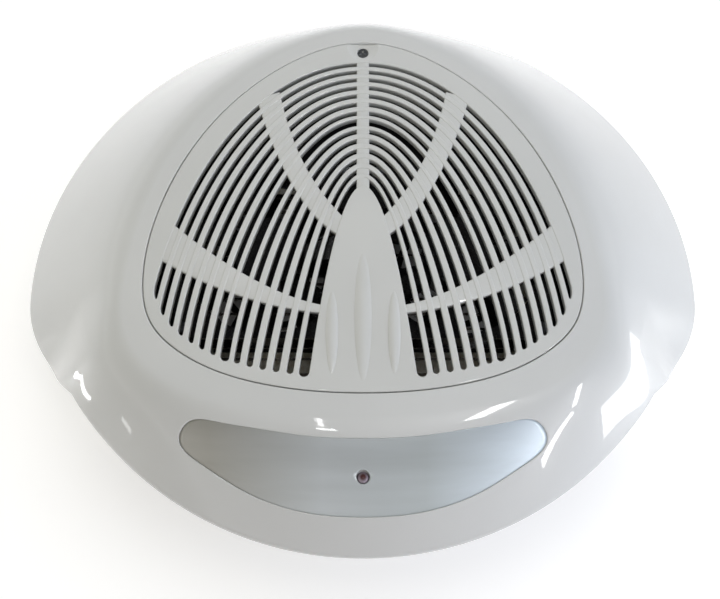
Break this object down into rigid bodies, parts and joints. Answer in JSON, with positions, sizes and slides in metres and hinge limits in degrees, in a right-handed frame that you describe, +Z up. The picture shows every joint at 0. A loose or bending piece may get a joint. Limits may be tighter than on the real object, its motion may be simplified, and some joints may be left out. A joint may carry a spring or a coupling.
{
  "type": "fan nail dryer",
  "caption": "Table-top fan nail dryer: domed shell with a curved-slot intake grille over fans and heaters, an open-fronted hand tunnel and a flat base.",
  "frame": {"origin": "centre of the footprint on the table, under the rubber feet", "axes": "+X to the right, +Y to the back, +Z up; the hand opening faces -Y"},
  "size_m": [0.334, 0.279, 0.1164],
  "materials": {
    "white_abs": "glossy injection-moulded white ABS",
    "silver_film": "satin silver metallised plate",
    "lamp_lens": "tinted diffusing lamp body",
    "black_abs": "fine-textured black ABS",
    "zinc_steel": "bright zinc-plated steel",
    "foot_rubber": "soft black rubber",
    "fan_black": "glass-filled black fan plastic",
    "ferrite": "bonded ferrite ring",
    "shaft_steel": "ground steel pin",
    "bronze": "sintered bronze",
    "lamination": "stacked electrical steel",
    "copper_wire": "enamelled copper wire",
    "mica": "pressed mica sheet",
    "nichrome": "bright heating wire",
    "circuit_board": "phenolic paper board",
    "relay_case": "moulded relay case",
    "capacitor_sleeve": "shrink sleeve",
    "sensor_clear": "clear tinted resin",
    "sensor_dark": "infrared-pass resin",
    "terminal_white": "natural nylon",
    "switch_black": "smooth black nylon"
  },
  "bodies": {
    "housing": {"top_shell": "white_abs", "intake_grille": "white_abs", "base_tray": "white_abs", "grille_screw": "zinc_steel", "fascia_plate": "silver_film", "indicator_lamp": "lamp_lens", "inner_hood": "black_abs", "hood_screws": "zinc_steel", "rubber_feet": "foot_rubber", "base_screws": "zinc_steel", "fan_screws": "zinc_steel", "control_board": "circuit_board", "board_relay": "relay_case", "board_capacitors": "capacitor_sleeve", "board_screws": "zinc_steel", "sensor_emitter": "sensor_clear", "sensor_receiver": "sensor_dark", "transformer_core": "lamination", "transformer_winding": "copper_wire", "terminal_block": "terminal_white", "switch_body": "switch_black", "cord_gland": "black_abs", "gland_nut": "black_abs", "fan_frame_left": "fan_black", "fan_bearing_left": "bronze", "fan_stator_left": "lamination", "fan_winding_left": "copper_wire", "heater_former_left": "mica", "heater_wire_left": "nichrome", "heater_bracket_left": "zinc_steel", "thermal_cutout_left": "zinc_steel", "fan_frame_right": "fan_black", "fan_bearing_right": "bronze", "fan_stator_right": "lamination", "fan_winding_right": "copper_wire", "heater_former_right": "mica", "heater_wire_right": "nichrome", "heater_bracket_right": "zinc_steel", "thermal_cutout_right": "zinc_steel"},
    "rotor_left": {"fan_rotor_left": "fan_black", "rotor_magnet_left": "ferrite", "fan_shaft_left": "shaft_steel"},
    "rotor_right": {"fan_rotor_right": "fan_black", "rotor_magnet_right": "ferrite", "fan_shaft_right": "shaft_steel"},
    "rocker": {"switch_rocker": "switch_black"}
  },
  "joints": [
    {"name": "rotor_left_spin", "type": "hinge", "parent": "housing", "child": "rotor_left", "pos_m": [-0.0425, -0.0065, 0.09], "axis": [0, 0, 1], "continuous": true},
    {"name": "rotor_right_spin", "type": "hinge", "parent": "housing", "child": "rotor_right", "pos_m": [0.0425, -0.0065, 0.09], "axis": [0, 0, 1], "continuous": true},
    {"name": "rocker_tilt", "type": "hinge", "parent": "housing", "child": "rocker", "pos_m": [-0.03, 0.119, 0.019], "axis": [0, 0, 1], "range_deg": [-10, 10]}
  ]
}
